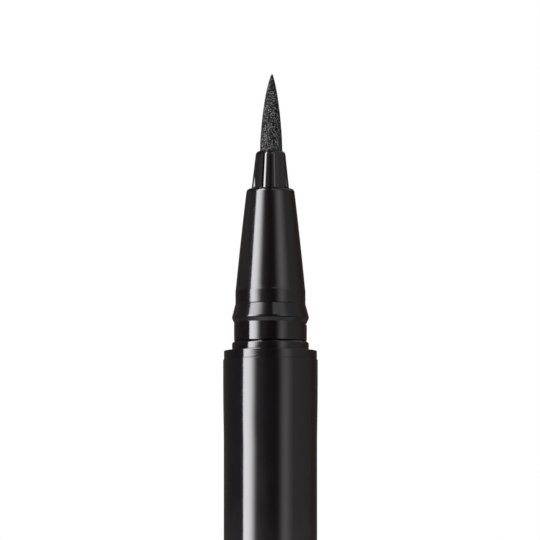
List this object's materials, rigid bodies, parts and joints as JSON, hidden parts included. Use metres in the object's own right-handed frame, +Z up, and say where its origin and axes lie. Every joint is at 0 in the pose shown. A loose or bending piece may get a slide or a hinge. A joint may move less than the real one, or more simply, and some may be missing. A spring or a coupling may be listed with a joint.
{
  "type": "lash adhesive pen",
  "caption": "Slim round black pen with a pointed felt tip, tapered nose and flanged neck, standing upright on its posted push-on cap.",
  "frame": {"origin": "centre of the cap's flat closed end, where the pen stands on the table", "axes": "+Z up along the pen's axis, from the cap's closed end to the tip; -Y faces the picture's camera"},
  "size_m": [0.0106, 0.0106, 0.1598],
  "materials": {
    "black_gloss_plastic": "glossy black moulded plastic",
    "barrel_plastic": "glossy black lacquered tube",
    "nose_plastic": "satin-gloss black moulded plastic with fine turned marks",
    "holder_plastic": "high-gloss black moulded plastic",
    "tip_felt": "ground bonded fibre, matte, dark grey-black and finely speckled",
    "core_fibre": "bundled fibre rod",
    "natural_plastic": "uncoloured moulded plastic",
    "seal_rubber": "matte black rubber",
    "ball_steel": "polished stainless steel"
  },
  "bodies": {
    "cap": {"cap_shell": "black_gloss_plastic", "inner_cap": "natural_plastic"},
    "pen": {"barrel": "barrel_plastic", "tail_plug": "black_gloss_plastic", "tail_seal": "seal_rubber", "nose_section": "nose_plastic", "section_seal": "seal_rubber", "collector": "natural_plastic", "feed_core": "core_fibre", "tip_holder": "holder_plastic", "brush_tip": "tip_felt"},
    "mixing_ball": {"mixing_ball": "ball_steel"}
  },
  "joints": [
    {"name": "cap_pull", "type": "slide", "parent": "cap", "child": "pen", "axis": [0, 0, 1], "range_m": [0, 0.02]},
    {"name": "ball_travel", "type": "slide", "parent": "pen", "child": "mixing_ball", "axis": [0, 0, 1], "range_m": [0, 0.0667]}
  ]
}
